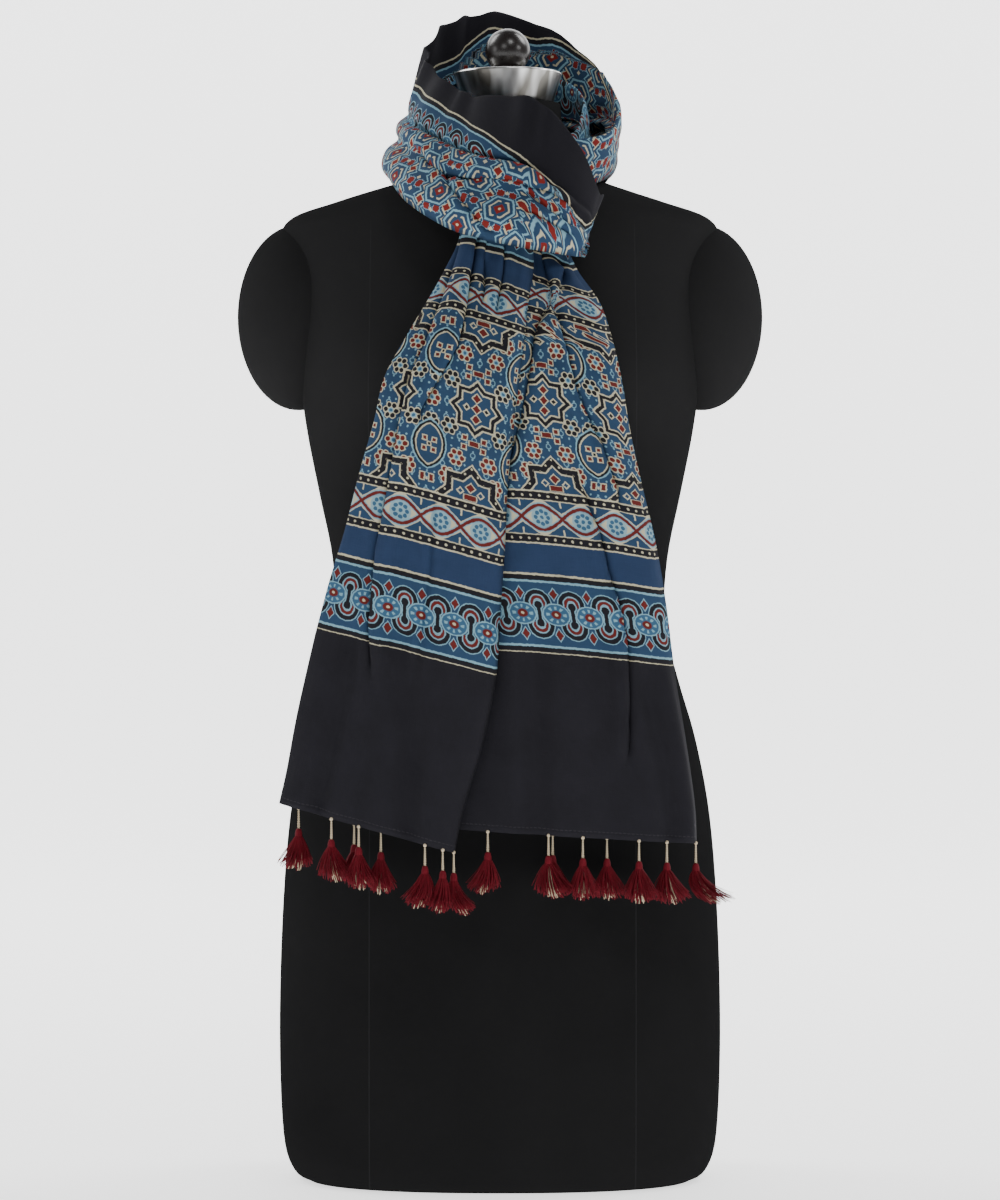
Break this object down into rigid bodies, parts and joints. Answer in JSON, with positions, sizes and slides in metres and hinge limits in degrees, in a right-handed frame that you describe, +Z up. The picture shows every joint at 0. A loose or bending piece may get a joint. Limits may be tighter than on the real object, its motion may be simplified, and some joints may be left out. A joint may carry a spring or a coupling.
{
  "type": "ajrakh stole on a dress form",
  "caption": "Indigo ajrakh block-printed stole with crimson tassels, looped and pulled through round the neck of a plain black dress form with a steel neck ring and a round knob.",
  "frame": {"origin": "centre of the dress form's flat foot, on the surface that it stands on", "axes": "+Z up, the dress form faces -Y, and +X is on the viewer's right as seen from the front"},
  "size_m": [0.408, 0.2951, 0.8941],
  "materials": {
    "stole_fabric": "matt block-printed cotton",
    "form_cover": "smooth stretched black cover with a slight sheen",
    "neck_ring_steel": "polished",
    "knob_lacquer": "glossy, slightly worn",
    "tassel_thread": "soft cotton thread"
  },
  "bodies": {
    "root": {"stole": "stole_fabric", "dress_form": "form_cover", "neck_ring": "neck_ring_steel", "knob": "knob_lacquer", "tassel_left_1": "tassel_thread", "tassel_left_2": "tassel_thread", "tassel_left_3": "tassel_thread", "tassel_left_4": "tassel_thread", "tassel_left_5": "tassel_thread", "tassel_left_6": "tassel_thread", "tassel_left_7": "tassel_thread", "tassel_left_8": "tassel_thread", "tassel_right_1": "tassel_thread", "tassel_right_2": "tassel_thread", "tassel_right_3": "tassel_thread", "tassel_right_4": "tassel_thread", "tassel_right_5": "tassel_thread", "tassel_right_6": "tassel_thread", "tassel_right_7": "tassel_thread", "tassel_right_8": "tassel_thread"}
  },
  "joints": []
}
